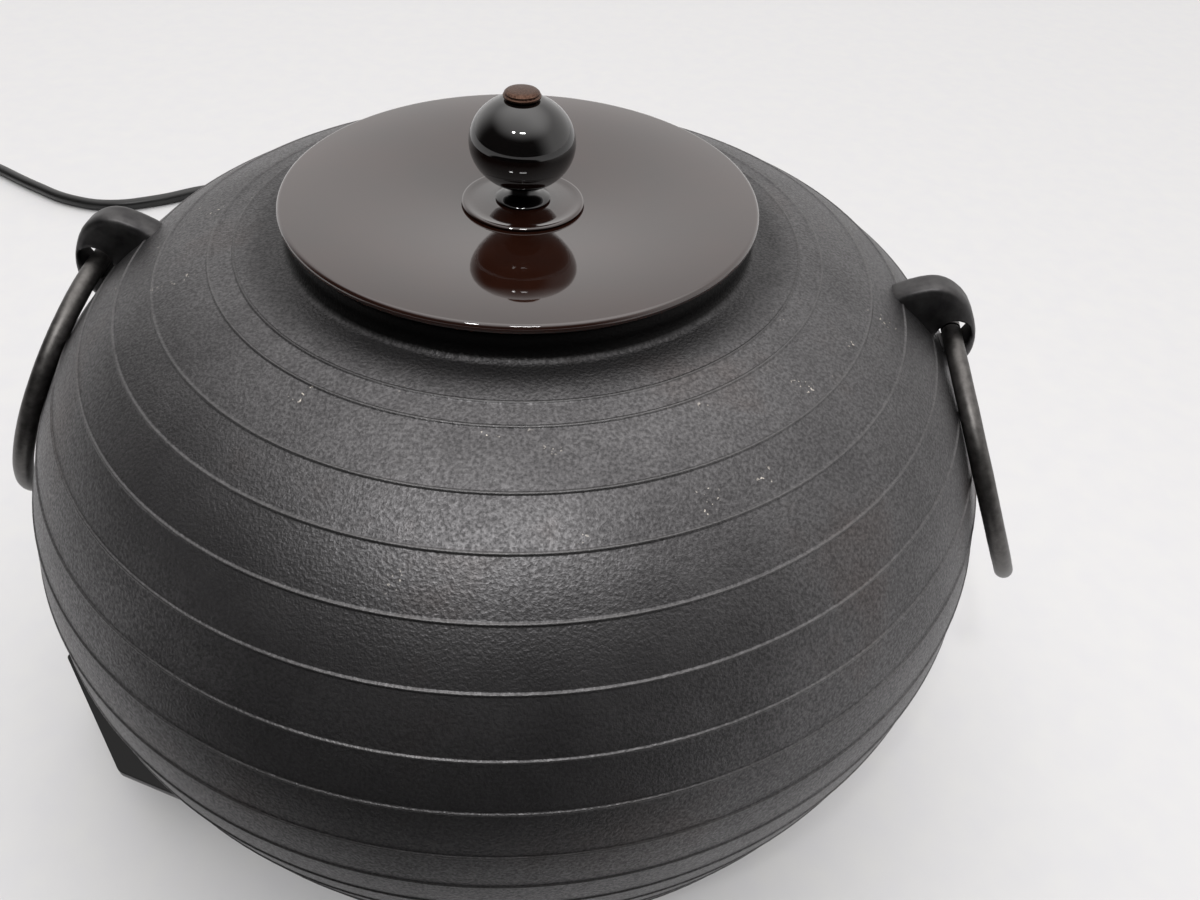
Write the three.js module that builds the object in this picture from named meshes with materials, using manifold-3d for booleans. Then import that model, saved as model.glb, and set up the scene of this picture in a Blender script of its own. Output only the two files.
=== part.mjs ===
// Cast iron tea kettle on a low electric heating base. Millimetres, +Z up, Z = 0 is the table.
// The kettle's axis is the Z axis; +X is the user's right and -Y is towards the user.
import * as THREE from "three";
import { mergeVertices } from "three/addons/utils/BufferGeometryUtils.js";
import Module from "manifold-3d";

const wasm = await Module();
wasm.setup();

// ---------- driving dimensions ----------
const gap = 0.3; // air between two pieces that rest on or in each other

// kettle casting
const bodyRadius = 140.3;
const bodyHeight = 158.6; // bottom to shoulder
const widestHeight = 77;
const footRadius = 66;
const kneeHeight = 24; // where the flank turns in under the body
const kneeInset = 10;
const bodyWall = 4;
const neckFootRadius = 63;
const neckRadius = 60.5;
const neckHeight = 6.9;
const neckWall = 6;

// cast ears and their iron rings
const lugHoleRadius = 4.5;
const lugThickness = 9;
const lugHoleInset = 19.3; // from the widest radius in to the hole
const lugHoleDrop = 20.6; // from the shoulder down to the hole
const ringRadius = 41.3;
const ringWire = 2.6;
const ringDrop = 1; // the wire hangs this far below the middle of its hole
const ears = [
  { name: "left", angle: 176.6, facing: 179.5, lean: 24.5 },
  { name: "right", angle: -5, facing: -9, lean: 27 },
];

// lid and knob
const lidRadius = 61.8;
const lidRim = 2.6; // rim crest over the seat
const lidDish = 4.8; // centre below the rim crest
const lidThickness = 2.7;
const lidPlay = 1.5; // between the lid's dish and the mouth
const seatRingDepth = 5;
const seatRingWidth = 2.5;
const seatRingPlay = 2;
const pinRadius = 2;
const washerRadius = 16;
const washerThickness = 0.8;
const knobRadius = 13.5;
const knobHalfHeight = 11.6;
const knobFootRadius = 7.2;
const knobWaistRadius = 3.2;
const knobStem = 3.3; // foot to the underside of the ball
const finialRadius = 4.7;
const finialHeight = 1.9;

// heating base
const baseRadius = 116;
const baseHeight = 26;
const coverThickness = 3;
const housingInset = 9; // the cover plate overhangs the housing by this
const panWall = 2;
const cornerCut = 1.4; // how far the console's corners are rounded off
const arcSteps = 34;
const footHeight = 6;
const panThickness = 2;
const consoleFront = { radius: 149.8, angle: -149 };
const consoleBack = { radius: 167, angle: -168.1 };
const dishRadius = 86;
const dishFlange = 6;
const sheet = 0.8;
const hotPlateRadius = 72;
const hotPlateThickness = 6.9;
const hotPlateStand = 4; // hot plate's face over the cover
const elementRadius = 50;
const elementTube = 3.2;
const screwCircle = 98;
const screwAngles = [20, 78, 222, 285];
const postCircle = 64;
const postAngles = [30, 150, 270];
const footCircle = 92;
const footAngles = [30, 120, 210, 300];
const dialPlace = { radius: 129, angle: -154 };
const dialRadius = 10;
const dialHeight = 9;
const thermostatSide = 14;
const shaftRadius = 3;
const rockerPlace = { radius: 133, angle: -166.5 };
const rockerLength = 15;
const rockerWidth = 10.4;
const rockerPlay = 0.7;
const rockerTilt = 8;
const lampPlace = { radius: 118, angle: -144 };
const lampRadius = 4;

// mains lead
const cordRadius = 3.5;
const cordAngle = 105;
const cordHeight = 15.6;
const reliefLength = 34;
const glandNeck = 5.2; // radius of the groove that holds the relief in the wall
const coilCentre = [-480, 370];
const coilMiddle = 38.5; // middle of the turns
const coilTurnsAcross = 3;
const coilTurnsHigh = 2;
const plugAngle = 250; // where the lead leaves the coil for its plug
const cordRoute = [
  [-41.6, 155.2, 15.3], [-48.4, 180, 12.2], [-57, 205, 7.9], [-68, 231, 4.7], [-89, 270, 3.7],
  [-121, 314, 3.7], [-151, 344, 3.7], [-185, 362, 3.7], [-218, 364, 3.7], [-245, 354, 3.7],
  [-270, 338, 3.7], [-298, 328, 3.7], [-325, 332, 3.7], [-356, 348, 3.7], [-394, 372, 3.7],
];

// ---------- places worked out from them ----------
const rad = THREE.MathUtils.degToRad;
const plateTop = baseHeight + hotPlateStand;
const bottomZ = plateTop + gap;
const widestZ = bottomZ + widestHeight;
const shoulderZ = bottomZ + bodyHeight;
const neckTopZ = shoulderZ + neckHeight;
const mouthRadius = neckRadius - neckWall;
const lidZ = neckTopZ + gap;
const coverUnder = baseHeight - coverThickness;
const housingRadius = baseRadius - housingInset;
const reliefEnd = housingRadius + reliefLength;
const plateBottom = plateTop - hotPlateThickness;
const elementZ = plateBottom - gap - elementTube;
const panTop = footHeight + panThickness;
const dishFloor = panTop + 4;
const coverHole = dishRadius + 2;

const around = (place, z = 0) =>
  new THREE.Vector3(Math.cos(rad(place.angle)) * place.radius, Math.sin(rad(place.angle)) * place.radius, z);

// ---------- finishes ----------
const finish = (color, roughness, metalness) => new THREE.MeshStandardMaterial({ color, roughness, metalness });
const castIron = finish(0x2b2624, 0.62, 0.35);
const wroughtIron = finish(0x25201e, 0.5, 0.5);
const lacquer = finish(0x2e120d, 0.08, 0.1);
const blackLacquer = finish(0x120a08, 0.1, 0.1);
const brass = finish(0x8a6a3a, 0.35, 0.9);
const bronze = finish(0x3a2018, 0.4, 0.6);
const glossBlack = finish(0x0c0c0d, 0.15, 0);
const steel = finish(0x9a9a98, 0.35, 0.9);
const darkIron = finish(0x1d1d1e, 0.6, 0.4);
const mineral = finish(0xb7ab92, 0.95, 0);
const rubber = finish(0x161616, 0.8, 0);
const bakelite = finish(0x1b1512, 0.4, 0);
const amber = finish(0xd0581c, 0.15, 0);
const cordBlack = finish(0x101010, 0.5, 0);
const wireWhite = finish(0xd8d4c8, 0.5, 0);

// ---------- shaping ----------
const kettleGroup = new THREE.Group();
const lidGroup = new THREE.Group();
const baseGroup = new THREE.Group();
const cordGroup = new THREE.Group();

function addPiece(group, name, geometry, material) {
  const mesh = new THREE.Mesh(geometry, material);
  mesh.name = name;
  group.add(mesh);
  return mesh;
}

// A closed geometry as a solid for joining and cutting.
function toSolid(geometry) {
  const bare = geometry.clone();
  bare.deleteAttribute("normal");
  bare.deleteAttribute("uv");
  const merged = mergeVertices(bare, 1e-4);
  const mesh = new wasm.Mesh({
    numProp: 3,
    vertProperties: merged.getAttribute("position").array,
    triVerts: new Uint32Array(merged.index.array),
  });
  return new wasm.Manifold(mesh);
}

function toGeometry(solid) {
  const mesh = solid.getMesh();
  const geometry = new THREE.BufferGeometry();
  geometry.setAttribute("position", new THREE.BufferAttribute(mesh.vertProperties, 3));
  geometry.setIndex(new THREE.BufferAttribute(mesh.triVerts, 1));
  geometry.computeVertexNormals();
  return geometry;
}

function cut(geometry, ...tools) {
  let solid = toSolid(geometry);
  for (const tool of tools) solid = solid.subtract(toSolid(tool));
  return toGeometry(solid);
}

function join(geometry, ...others) {
  let solid = toSolid(geometry);
  for (const other of others) solid = solid.add(toSolid(other));
  return toGeometry(solid);
}

// A profile of [radius, height] turned about the Z axis, always with its faces outwards.
function turned(profile, segments = 32) {
  const points = profile.map((p) => new THREE.Vector2(Math.max(p[0], 0), p[1]));
  if (THREE.ShapeUtils.area(points) < 0) points.reverse();
  if (points[0].x > 0 || points.at(-1).x > 0) points.push(points[0].clone());
  return new THREE.LatheGeometry(points, segments).rotateX(Math.PI / 2);
}

function outlineSolid(points, low, high) {
  const geometry = new THREE.ExtrudeGeometry(new THREE.Shape(points), {
    depth: high - low,
    bevelEnabled: false,
  });
  return geometry.translate(0, 0, low);
}

function disc(radius, low, high, place = { radius: 0, angle: 0 }, segments = 24) {
  const spot = around(place, (low + high) / 2);
  const geometry = new THREE.CylinderGeometry(radius, radius, high - low, segments);
  return geometry.rotateX(Math.PI / 2).translate(spot.x, spot.y, spot.z);
}

// A block whose first side lies along the radius at its place.
function block(alongRadius, across, low, high, place) {
  const spot = around(place, (low + high) / 2);
  const geometry = new THREE.BoxGeometry(alongRadius, across, high - low);
  return geometry.rotateZ(rad(place.angle)).translate(spot.x, spot.y, spot.z);
}

// A round tube along points, closed at both ends.
function tube(points, radius, steps, sides = 8) {
  const section = new THREE.Shape();
  for (let i = 0; i < sides; i += 1) {
    const turn = (2 * Math.PI * i) / sides;
    const corner = [Math.cos(turn) * radius, Math.sin(turn) * radius];
    if (i === 0) section.moveTo(...corner);
    else section.lineTo(...corner);
  }
  const path = new THREE.CatmullRomCurve3(points.map((p) => new THREE.Vector3(...p)), false, "centripetal");
  return new THREE.ExtrudeGeometry(section, { steps, bevelEnabled: false, extrudePath: path });
}

// ---------- kettle ----------
// Half section of the casting's outside, grown outwards by the given amount.
function kettleOutside(grow) {
  const path = new THREE.Path();
  const low = bottomZ - grow;
  const wide = bodyRadius + grow;
  const knee = wide - kneeInset;
  const kneeZ = low + kneeHeight;
  path.moveTo(footRadius, low);
  path.bezierCurveTo(footRadius + 41, low, knee - 3.7, low + 10, knee, kneeZ);
  path.bezierCurveTo(knee + 3.3, kneeZ + 12.5, wide, widestZ - 19, wide, widestZ);
  path.absellipse(neckFootRadius, widestZ, wide - neckFootRadius, shoulderZ + grow - widestZ, 0, Math.PI / 2);
  return path.getPoints(5).map((p) => [p.x, p.y]);
}

function kettleBody() {
  const outside = kettleOutside(0);
  const inside = kettleOutside(-bodyWall).reverse();
  const neck = [
    [neckRadius + 0.5, shoulderZ + 0.8],
    [neckRadius, shoulderZ + 2.4],
    [neckRadius, neckTopZ],
    [mouthRadius, neckTopZ],
    [mouthRadius, shoulderZ - bodyWall],
  ];
  return turned([[0, bottomZ], ...outside, ...neck, ...inside, [0, bottomZ + bodyWall]], 40);
}

// Ear outline in the plane of the axis, measured outwards and upwards from its hole.
const earOutline = [
  [-26, 2], [-20.3, 8.5], [-14.1, 12.3], [-8.6, 14.2], [-3.6, 13.2], [1.2, 9.6], [4.9, 3.6],
  [6.7, -2], [6.4, -7], [2, -14], [-16, -8],
];

function ear(side) {
  const curve = new THREE.SplineCurve(earOutline.map((p) => new THREE.Vector2(...p)));
  const rounding = 2.2;
  const outline = new THREE.Shape(curve.getPoints(22));
  const plate = new THREE.ExtrudeGeometry(outline, {
    depth: lugThickness - 2 * rounding,
    bevelThickness: rounding,
    bevelSize: rounding,
    bevelOffset: -rounding,
    bevelSegments: 2,
  }).translate(0, 0, rounding - lugThickness / 2);
  const hole = new THREE.CylinderGeometry(lugHoleRadius, lugHoleRadius, 3 * lugThickness, 16);
  const seat = earSeat(side);
  plate.rotateX(Math.PI / 2).rotateZ(rad(side.facing)).translate(seat.x, seat.y, seat.z);
  hole.rotateZ(rad(side.facing)).translate(seat.x, seat.y, seat.z);
  const casting = turned([[0, bottomZ - gap], ...kettleOutside(gap), [0, shoulderZ + gap]], 40);
  return cut(plate, hole, casting);
}

function earSeat(side) {
  return around({ radius: bodyRadius - lugHoleInset, angle: side.angle }, shoulderZ - lugHoleDrop);
}

// The ring hangs from its ear in a plane that leans outwards from the vertical.
function hungRing(side) {
  const geometry = new THREE.TorusGeometry(ringRadius, ringWire, 8, 36);
  geometry.translate(ringRadius, 0, 0).rotateY(Math.PI / 2 - rad(side.lean));
  const seat = earSeat(side);
  geometry.rotateZ(rad(side.facing));
  return geometry.translate(seat.x, seat.y, seat.z - ringDrop);
}

addPiece(kettleGroup, "kettle_body", kettleBody(), castIron);
for (const side of ears) {
  addPiece(kettleGroup, "lug_" + side.name, ear(side), castIron);
  addPiece(kettleGroup, "ring_" + side.name, hungRing(side), wroughtIron);
}

// ---------- lid, measured from its seat on the mouth ----------
const rimCrest = lidRadius - 1.2;
const lidSweep = (part) => part * part * (3 - 2 * part); // level at the middle and at the rim
const lidTop = (radius) => lidRim - lidDish + lidDish * lidSweep(radius / rimCrest);
const lidUnder = (radius) => lidTop(radius) - lidThickness;
const pinHole = pinRadius + gap;

function lidPlate() {
  const dishEdge = mouthRadius - lidPlay;
  const stops = 6;
  const profile = [];
  for (let i = 0; i <= stops; i += 1) {
    const radius = pinHole + ((dishEdge - pinHole) * i) / stops;
    profile.push([radius, lidUnder(radius)]);
  }
  profile.push([dishEdge + 0.4, 0], [lidRadius - 0.9, 0], [lidRadius, 0.9]);
  profile.push([lidRadius, 1.6], [lidRadius - 0.4, 2.3]);
  for (let i = stops; i >= 0; i -= 1) {
    const radius = pinHole + ((rimCrest - pinHole) * i) / stops;
    profile.push([radius, lidTop(radius)]);
  }
  return turned(profile, 36);
}

function lidSeatRing() {
  const outer = mouthRadius - seatRingPlay;
  const inner = outer - seatRingWidth;
  const top = lidUnder(inner) - gap;
  return turned([[inner, top], [outer, top], [outer, top - seatRingDepth], [inner, top - seatRingDepth]], 36);
}

const washerBottom = lidTop(washerRadius) + gap;
const knobBottom = washerBottom + washerThickness + gap;
const ballMiddle = knobBottom + knobStem + knobHalfHeight;
const pinTop = knobBottom + knobHalfHeight;

function knobBall() {
  const flatRadius = finialRadius + 0.2;
  const low = Math.acos(knobWaistRadius / knobRadius);
  const high = Math.acos(flatRadius / knobRadius);
  const ball = [];
  for (let i = 0; i <= 9; i += 1) {
    const turn = -low + ((low + high) * i) / 9;
    ball.push([knobRadius * Math.cos(turn), ballMiddle + knobHalfHeight * Math.sin(turn)]);
  }
  const foot = [
    [0, pinTop + gap],
    [pinHole, pinTop + gap],
    [pinHole, knobBottom],
    [knobFootRadius, knobBottom],
    [knobFootRadius - 0.4, knobBottom + 0.6],
    [knobWaistRadius + 1.2, knobBottom + 1.3],
    [knobWaistRadius, knobBottom + 2.3],
  ];
  return turned([...foot, ...ball, [0, ball.at(-1)[1]]], 22);
}

function lidParts() {
  const nutTop = lidUnder(0) - gap;
  const lockThickness = 0.8;
  const nutHeight = 3.5;
  const nutLow = nutTop - lockThickness - gap - nutHeight;
  const finialLow = ballMiddle + knobHalfHeight * Math.sin(Math.acos((finialRadius + 0.2) / knobRadius)) + gap;
  const washer = turned(
    [
      [pinHole, washerBottom], [washerRadius, washerBottom],
      [washerRadius - 0.5, washerBottom + washerThickness], [pinHole, washerBottom + washerThickness],
    ],
    32,
  );
  const finial = turned(
    [
      [0, finialLow], [finialRadius - 0.5, finialLow], [finialRadius, finialLow + 0.6],
      [finialRadius - 0.3, finialLow + finialHeight - 0.3], [0, finialLow + finialHeight],
    ],
    20,
  );
  const nut = new THREE.CylinderGeometry(4.6, 4.6, nutHeight, 6).rotateX(Math.PI / 2);
  nut.translate(0, 0, nutLow + nutHeight / 2);
  addPiece(lidGroup, "lid_plate", lidPlate(), lacquer);
  addPiece(lidGroup, "lid_seat_ring", lidSeatRing(), lacquer);
  addPiece(lidGroup, "knob_washer", washer, blackLacquer);
  addPiece(lidGroup, "knob_ball", knobBall(), blackLacquer);
  addPiece(lidGroup, "knob_finial", finial, bronze);
  addPiece(lidGroup, "knob_pin", disc(pinRadius, nutLow - 1, pinTop, undefined, 12), brass);
  addPiece(lidGroup, "knob_lock_washer", cut(disc(6, nutTop - lockThickness, nutTop), disc(pinHole, -30, 30)), brass);
  addPiece(lidGroup, "knob_nut", cut(nut, disc(pinHole, -30, 30, undefined, 12)), brass);
  lidGroup.position.z = lidZ;
}
lidParts();

// ---------- heating base ----------
// Where two lines meet, each given by the direction of its normal and its distance from the axis.
function meet(normalA, distanceA, normalB, distanceB) {
  const spread = Math.sin(normalB - normalA);
  return new THREE.Vector2(
    (distanceA * Math.sin(normalB) - distanceB * Math.sin(normalA)) / spread,
    (distanceB * Math.cos(normalA) - distanceA * Math.cos(normalB)) / spread,
  );
}

// Outline of the base, moved inwards by a distance: a circle with a console whose two
// corners reach out from tangents of the circle.
function baseOutline(inset) {
  const front = around(consoleFront);
  const back = around(consoleBack);
  const startAngle = rad(consoleFront.angle) + Math.acos(baseRadius / consoleFront.radius);
  const endAngle = rad(consoleBack.angle) - Math.acos(baseRadius / consoleBack.radius);
  const edgeAngle = Math.atan2(front.y - back.y, front.x - back.x) - Math.PI / 2;
  const edgeDistance = front.x * Math.cos(edgeAngle) + front.y * Math.sin(edgeAngle) - inset;
  const radius = baseRadius - inset;
  const corners = [
    meet(edgeAngle, edgeDistance, endAngle, radius),
    meet(startAngle, radius, edgeAngle, edgeDistance),
  ];
  const sweep = endAngle + 2 * Math.PI - startAngle;
  const points = [];
  for (let i = 0; i <= arcSteps; i += 1) {
    const turn = startAngle + (sweep * i) / arcSteps;
    points.push(new THREE.Vector2(Math.cos(turn) * radius, Math.sin(turn) * radius));
  }
  const loop = [points.at(-1), ...corners, points[0]];
  for (const i of [1, 2]) {
    const into = loop[i - 1].clone().sub(loop[i]).setLength(cornerCut).add(loop[i]);
    const out = loop[i + 1].clone().sub(loop[i]).setLength(cornerCut).add(loop[i]);
    const bend = new THREE.QuadraticBezierCurve(into, loop[i], out);
    points.push(...bend.getPoints(3));
  }
  return points;
}

const rockerWell = { long: rockerLength + 2 * rockerPlay + 0.4, wide: rockerWidth + 2 * gap + 0.4 };
const rockerBox = { long: rockerWell.long + 2, wide: rockerWell.wide + 2 };

function coverPlate() {
  const bosses = screwAngles.map((angle) =>
    disc(4.6, panTop + gap, baseHeight - 1, { radius: screwCircle, angle }, 12),
  );
  const holes = [
    disc(coverHole, 0, 40, undefined, 32),
    disc(shaftRadius + 0.6, 0, 40, dialPlace, 16),
    disc(lampRadius + gap, 0, 40, lampPlace, 16),
    block(rockerBox.long + 2 * gap, rockerBox.wide + 2 * gap, 0, 40, rockerPlace),
    ...screwAngles.map((angle) => disc(1.9, 0, baseHeight - 5, { radius: screwCircle, angle }, 10)),
  ];
  return cut(join(outlineSolid(baseOutline(0), coverUnder, baseHeight), ...bosses), ...holes);
}

// An open tray under the cover plate that holds the works.
function housingPan() {
  const inside = outlineSolid(baseOutline(housingInset + panWall), panTop, coverUnder + 5);
  const holes = screwAngles.map((angle) => disc(1.9, 0, 20, { radius: screwCircle, angle }, 10));
  const block = outlineSolid(baseOutline(housingInset), footHeight, coverUnder - gap);
  return cut(block, inside, gland(glandNeck + gap, housingRadius - 12, housingRadius + 12), ...holes);
}
// A round bar pointing out of the base where the lead leaves.
function gland(radius, from, to) {
  const bar = new THREE.CylinderGeometry(radius, radius, to - from, 16);
  const spot = around({ radius: (from + to) / 2, angle: cordAngle }, cordHeight);
  return bar.rotateZ(rad(cordAngle - 90)).translate(spot.x, spot.y, spot.z);
}

function strainRelief() {
  const wallIn = housingRadius - panWall - gap;
  const wallOut = housingRadius + gap;
  const profile = [
    [0, wallIn - 3.6], [7, wallIn - 3.6], [7, wallIn], [glandNeck, wallIn],
    [glandNeck, wallOut], [7, wallOut], [6.8, wallOut + 2.6],
    [5.6, wallOut + 4.2], [cordRadius + 0.8, reliefEnd], [0, reliefEnd],
  ];
  const geometry = turned(profile, 16).rotateX(-Math.PI / 2);
  return geometry.rotateZ(rad(cordAngle - 90)).translate(0, 0, cordHeight);
}

function reflectorDish() {
  const wall = dishRadius - sheet;
  const lip = baseHeight + gap;
  const dish = turned(
    [
      [20, dishFloor], [dishRadius, dishFloor], [dishRadius, lip], [dishRadius + dishFlange, lip],
      [dishRadius + dishFlange, lip + sheet], [wall, lip + sheet], [wall, dishFloor + sheet],
      [20, dishFloor + sheet],
    ],
    32,
  );
  const windows = elementAngles.map((angle) =>
    block(12, 2 * elementTube + 2, elementZ - elementTube - 1, elementZ + elementTube + 1, { radius: dishRadius, angle }),
  );
  return cut(dish, ...windows);
}

const elementAngles = [-149, -167];
const elementOut = 97;

// The sheathed element runs in through the dish wall, nearly once round, and out again.
function heatingElement() {
  const spot = (radius, angle) => around({ radius, angle }, elementZ).toArray();
  const points = [spot(elementOut, elementAngles[0]), spot(80, elementAngles[0]), spot(elementRadius + 9, -146)];
  for (let angle = -135; angle <= 180; angle += 15) points.push(spot(elementRadius, angle));
  points.push(spot(elementRadius + 9, -170), spot(80, elementAngles[1]), spot(elementOut, elementAngles[1]));
  return tube(points, elementTube, 44, 6);
}

function rockerParts() {
  const low = coverUnder - 10;
  const top = baseHeight + gap + 1.2;
  const outer = join(
    block(rockerBox.long, rockerBox.wide, low, baseHeight + 1, rockerPlace),
    block(rockerBox.long + 4, rockerBox.wide + 4, baseHeight + gap, top, rockerPlace),
  );
  const frame = cut(outer, block(rockerWell.long, rockerWell.wide, low + 2, top + 5, rockerPlace));
  const paddle = new THREE.BoxGeometry(rockerLength, rockerWidth, 7);
  const spot = around(rockerPlace, rockerPivotZ + 1.6);
  paddle.translate(0, 0, 1.6).rotateY(rad(rockerTilt)).translate(0, 0, -1.6);
  paddle.rotateZ(rad(rockerPlace.angle)).translate(spot.x, spot.y, spot.z);
  addPiece(baseGroup, "rocker_frame", frame, bakelite);
  addPiece(baseGroup, "rocker_paddle", paddle, bakelite);
}
const rockerPivotZ = baseHeight - 1.6;

function controlDial() {
  const low = baseHeight + 1;
  const top = low + dialHeight;
  const knob = turned(
    [
      [0, low], [dialRadius, low], [dialRadius, low + 2], [dialRadius - 1.6, low + 3.2],
      [dialRadius - 2, top - 0.8], [dialRadius - 2.8, top], [0, top],
    ],
    28,
  );
  const spot = around(dialPlace);
  knob.translate(spot.x, spot.y, 0);
  return cut(knob, disc(shaftRadius + gap, low - 1, top - 3, dialPlace, 16));
}

// A lead through places given as [radius, angle, height].
function lead(name, stops) {
  const points = stops.map(([radius, angle, z]) => around({ radius, angle }, z).toArray());
  addPiece(baseGroup, name, tube(points, 1.3, 3 * stops.length, 5), wireWhite);
}

function baseParts() {
  addPiece(baseGroup, "base_cover", coverPlate(), glossBlack);
  addPiece(baseGroup, "base_pan", housingPan(), darkIron);
  addPiece(baseGroup, "reflector_dish", reflectorDish(), steel);
  const wool = [[22, panTop + gap], [84, panTop + gap], [84, dishFloor - gap], [22, dishFloor - gap]];
  addPiece(baseGroup, "insulation_ring", turned(wool, 24), mineral);
  const plate = [
    [0, plateBottom], [hotPlateRadius - 1, plateBottom], [hotPlateRadius, plateBottom + 1],
    [hotPlateRadius, plateTop - 1], [hotPlateRadius - 1, plateTop], [0, plateTop],
  ];
  addPiece(baseGroup, "hot_plate", turned(plate, 36), darkIron);
  addPiece(baseGroup, "heating_element", heatingElement(), steel);
  postAngles.forEach((angle, i) => {
    const post = disc(4, dishFloor + sheet + gap, plateBottom - gap, { radius: postCircle, angle }, 10);
    addPiece(baseGroup, "plate_post_" + (i + 1), post, steel);
  });
  const thermostatTop = coverUnder - gap;
  addPiece(baseGroup, "thermostat_body", block(thermostatSide, thermostatSide, thermostatTop - 9, thermostatTop, dialPlace), bakelite);
  const shaftTop = baseHeight + 1 + dialHeight - 3 - gap;
  addPiece(baseGroup, "thermostat_shaft", disc(shaftRadius, thermostatTop + gap / 2, shaftTop, dialPlace, 16), steel);
  addPiece(baseGroup, "control_dial", controlDial(), bakelite);
  rockerParts();
  const lens = [
    [0, coverUnder], [lampRadius, coverUnder], [lampRadius, baseHeight + 0.8],
    [lampRadius - 0.9, baseHeight + 1.8], [0, baseHeight + 2.3],
  ];
  const lampSpot = around(lampPlace);
  addPiece(baseGroup, "lamp_lens", turned(lens, 16).translate(lampSpot.x, lampSpot.y, 0), amber);
  addPiece(baseGroup, "lamp_body", disc(3.6, panTop + 4, coverUnder - gap, lampPlace, 12), bakelite);
  addPiece(baseGroup, "terminal_block", block(13, 24, panTop + gap, panTop + 9, blockPlace), mineral);
  addPiece(baseGroup, "thermal_fuse", disc(2.4, 13, 22, fusePlace, 12), steel);
  footAngles.forEach((angle, i) => {
    const top = footHeight - gap;
    const profile = [[0, 0], [8, 0], [9.6, 1.2], [9.6, top], [0, top]];
    const spot = around({ radius: footCircle, angle });
    addPiece(baseGroup, "foot_" + (i + 1), turned(profile, 14).translate(spot.x, spot.y, 0), rubber);
  });
  screwAngles.forEach((angle, i) => {
    const top = footHeight - gap;
    const profile = [[0, top - 1.8], [2.4, top - 1.8], [3.2, top - 1], [3.2, top], [1.6, top], [1.6, 19], [0, 19]];
    const spot = around({ radius: screwCircle, angle });
    addPiece(baseGroup, "base_screw_" + (i + 1), turned(profile, 8).translate(spot.x, spot.y, 0), steel);
  });
  addPiece(baseGroup, "strain_relief", strainRelief(), rubber);
}
const blockPlace = { radius: 96, angle: 125 };
const fusePlace = { radius: 93, angle: 172 };

function wiring() {
  const high = elementZ;
  const low = 13;
  lead("lead_supply", [[housingRadius - 7.6, 105.6, cordHeight], [98.8, 109, 14.4], [97, 117.2, low]]);
  lead("lead_switch", [[97, 132.8, low], [95, 142, low], [95, 158, low], [99, 176, low], [112, 185, 16], [121.8, 191, 18]]);
  lead("lead_thermostat", [[131, -162.7, 18], [130.4, -160.2, 18], [129.7, -157.6, 18]]);
  lead("lead_element", [[98.6, -149, high], [108, -150.5, high], [121.3, -153.6, 18.5]]);
  lead("lead_fuse_in", [[98.6, -167.4, high], [99, -173, 18], [95.5, -180, 17.5], [93.2, -186.2, 17.5]]);
  lead("lead_fuse_out", [[93, 170.2, 17.5], [93.5, 155, 18], [94, 142, 17], [95, 133, 15.8]]);
}
baseParts();
wiring();

// ---------- mains lead, its coil and plug ----------
const coilOuter = coilMiddle + coilTurnsAcross * cordRadius;
const coilInner = coilMiddle - coilTurnsAcross * cordRadius;
const coilHeight = coilTurnsHigh * 2 * cordRadius;

function cordParts() {
  const start = around({ radius: reliefEnd + 2 * gap, angle: cordAngle }, cordHeight).toArray();
  addPiece(cordGroup, "power_cord", tube([start, ...cordRoute, coilEntry()], cordRadius, 54, 8), cordBlack);
  const corner = 2;
  const coil = [
    [coilInner + corner, 0.1], [coilOuter - corner, 0.1], [coilOuter, corner],
    [coilOuter, coilHeight - corner], [coilOuter - corner, coilHeight],
    [coilInner + corner, coilHeight], [coilInner, coilHeight - corner], [coilInner, corner],
  ];
  addPiece(cordGroup, "cord_coil", turned(coil, 32).translate(...coilCentre, 0), cordBlack);
  coilTie();
  plug();
}

// Where the straight run reaches the coil's outer turn, just short of touching it.
function coilEntry() {
  const last = new THREE.Vector2(...cordRoute.at(-1));
  const centre = new THREE.Vector2(...coilCentre);
  const reach = centre.clone().sub(last);
  const turnRadius = coilOuter - cordRadius;
  const bearing = reach.angle() - Math.asin(turnRadius / reach.length());
  const tangent = Math.sqrt(reach.lengthSq() - turnRadius ** 2);
  const nearSide = turnRadius - cordRadius;
  const short = Math.sqrt((coilOuter + gap) ** 2 - nearSide ** 2) + 1;
  const run = tangent - short;
  return [last.x + Math.cos(bearing) * run, last.y + Math.sin(bearing) * run, cordRoute.at(-1)[2]];
}

function coilTie() {
  const width = 7;
  const thick = 0.9;
  const across = coilOuter - coilInner;
  const outer = new THREE.BoxGeometry(across + 2 * thick + 2 * gap, width, coilHeight + thick + gap - 0.4);
  const inner = new THREE.BoxGeometry(across + 2 * gap + 0.6, 2 * width, coilHeight + gap);
  outer.translate(0, 0, (coilHeight + thick + gap + 0.4) / 2);
  inner.translate(0, 0, (coilHeight + gap) / 2);
  const band = cut(outer, inner);
  band.translate(coilMiddle, 0, 0).rotateZ(rad(200)).translate(...coilCentre, 0);
  addPiece(cordGroup, "coil_tie", band, cordBlack);
}

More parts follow.
